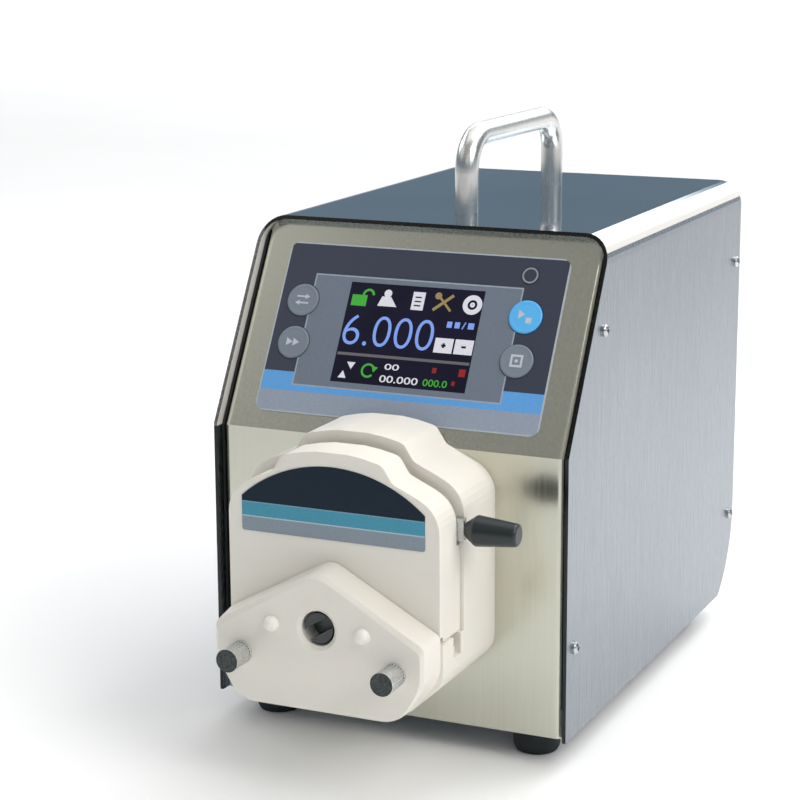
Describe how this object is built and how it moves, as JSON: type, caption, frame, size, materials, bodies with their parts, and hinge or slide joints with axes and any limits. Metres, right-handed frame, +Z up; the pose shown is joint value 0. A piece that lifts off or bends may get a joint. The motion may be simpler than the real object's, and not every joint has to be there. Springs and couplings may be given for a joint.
{
  "type": "peristaltic pump",
  "caption": "Bench peristaltic pump: stainless case with a sloped keypad and screen, a carry handle, and an easy-load pump head with a lever-operated jaw and a roller rotor.",
  "frame": {"origin": "centre of the whole footprint, pump head included, at the level the feet stand on", "axes": "+X to the right seen from the front, front and pump head towards -Y, +Z up"},
  "size_m": [0.16, 0.309, 0.245],
  "materials": {
    "brushed_stainless": "fine vertical brushing on the sides, polished roof",
    "panel_stainless": "satin, warm reflections",
    "zinc_steel": "plain zinc plate",
    "bar_chrome": "polished",
    "screw_steel": "bright",
    "black_rubber": "matt",
    "gasket_rubber": "matt",
    "overlay_film": "printed membrane film",
    "screen": "glossy black display window",
    "key_film": "translucent grey",
    "lens_film": "translucent",
    "ivory_plastic": "smooth moulded plastic",
    "cap_plastic": "glossy white",
    "label_film": "printed label",
    "black_plastic": "moulded black",
    "roller_plastic": "acetal",
    "shaft_steel": "dark ground steel",
    "cast_aluminium": "satin",
    "motor_black": "black laminations",
    "circuit_green": "solder mask",
    "brass_plain": "plain",
    "plate_aluminium": "matt anodised"
  },
  "bodies": {
    "case": {"wrap_cover": "brushed_stainless", "front_panel": "panel_stainless", "panel_gasket": "gasket_rubber", "base_pan": "zinc_steel", "rear_panel": "zinc_steel", "case_screws": "screw_steel", "foot_front_left": "black_rubber", "foot_front_right": "black_rubber", "foot_rear_left": "black_rubber", "foot_rear_right": "black_rubber", "foot_screws": "screw_steel", "carry_handle": "bar_chrome", "handle_screws": "screw_steel", "keypad_overlay": "overlay_film", "screen_glass": "screen", "lcd_module": "black_plastic", "status_lens": "lens_film", "keypad_board": "circuit_green", "board_posts": "screw_steel", "head_body": "ivory_plastic", "head_back_plate": "cast_aluminium", "head_front_plate": "ivory_plastic", "plate_caps": "cap_plastic", "head_thumbscrews": "screw_steel", "head_bearings": "screw_steel", "motor_bracket": "zinc_steel", "motor_front_cap": "cast_aluminium", "motor_stator": "motor_black", "motor_rear_cap": "cast_aluminium", "motor_bearings": "screw_steel", "motor_screws": "screw_steel", "power_supply": "zinc_steel", "control_board": "circuit_green", "board_spacers": "brass_plain", "mains_inlet": "black_plastic", "inlet_pins": "brass_plain", "switch_frame": "black_plastic", "fuse_holder": "black_plastic", "signal_port": "zinc_steel", "rating_plate": "plate_aluminium"},
    "rotor": {"rotor_carrier": "cast_aluminium", "roller_pins": "shaft_steel", "rotor_shaft": "shaft_steel", "drive_dog": "shaft_steel", "motor_rotor": "shaft_steel"},
    "roller_a": {"roller_1": "roller_plastic"},
    "roller_b": {"roller_2": "roller_plastic"},
    "roller_c": {"roller_3": "roller_plastic"},
    "jaw": {"occlusion_jaw": "ivory_plastic", "jaw_label": "label_film", "jaw_posts": "shaft_steel", "yoke_plate": "zinc_steel"},
    "lever": {"lever_arm": "shaft_steel", "lever_knob": "black_plastic", "lever_crank": "shaft_steel"},
    "key_direction_body": {"key_direction": "key_film"},
    "key_prime_body": {"key_prime": "key_film"},
    "key_start_body": {"key_start": "key_film"},
    "key_menu_body": {"key_menu": "key_film"},
    "rocker": {"power_rocker": "black_plastic"}
  },
  "joints": [
    {"name": "rotor_spin", "type": "hinge", "parent": "case", "child": "rotor", "pos_m": [0, -0.112, 0.0674], "axis": [0, 1, 0], "continuous": true},
    {"name": "roller_a_spin", "type": "hinge", "parent": "rotor", "child": "roller_a", "pos_m": [0, -0.112, 0.0484], "axis": [0, 1, 0], "continuous": true},
    {"name": "roller_b_spin", "type": "hinge", "parent": "rotor", "child": "roller_b", "pos_m": [0.01645, -0.112, 0.0769], "axis": [0, 1, 0], "continuous": true},
    {"name": "roller_c_spin", "type": "hinge", "parent": "rotor", "child": "roller_c", "pos_m": [-0.01645, -0.112, 0.0769], "axis": [0, 1, 0], "continuous": true},
    {"name": "lever_turn", "type": "hinge", "parent": "case", "child": "lever", "pos_m": [0, -0.1085, 0.104], "axis": [0, -1, 0], "range_deg": [0, 180]},
    {"name": "jaw_lift", "type": "slide", "parent": "case", "child": "jaw", "axis": [0, 0, 1], "range_m": [0, 0.012]},
    {"name": "key_direction_press", "type": "slide", "parent": "case", "child": "key_direction_body", "axis": [0, 0.8649, -0.5019], "range_m": [0, 0.0005], "stiffness_N_per_m": 600},
    {"name": "key_prime_press", "type": "slide", "parent": "case", "child": "key_prime_body", "axis": [0, 0.8649, -0.5019], "range_m": [0, 0.0005], "stiffness_N_per_m": 600},
    {"name": "key_start_press", "type": "slide", "parent": "case", "child": "key_start_body", "axis": [0, 0.8649, -0.5019], "range_m": [0, 0.0005], "stiffness_N_per_m": 600},
    {"name": "key_menu_press", "type": "slide", "parent": "case", "child": "key_menu_body", "axis": [0, 0.8649, -0.5019], "range_m": [0, 0.0005], "stiffness_N_per_m": 600},
    {"name": "rocker_tilt", "type": "hinge", "parent": "case", "child": "rocker", "pos_m": [-0.038, 0.1471, 0.134], "axis": [1, 0, 0], "range_deg": [0, 18]}
  ],
  "couplings": [
    {"joint": "roller_a_spin", "follows": "rotor_spin", "ratio": -3.9231},
    {"joint": "roller_b_spin", "follows": "rotor_spin", "ratio": -3.9231},
    {"joint": "roller_c_spin", "follows": "rotor_spin", "ratio": -3.9231},
    {"joint": "lever_turn", "follows": "jaw_lift", "rad_per_m": 261.79}
  ]
}
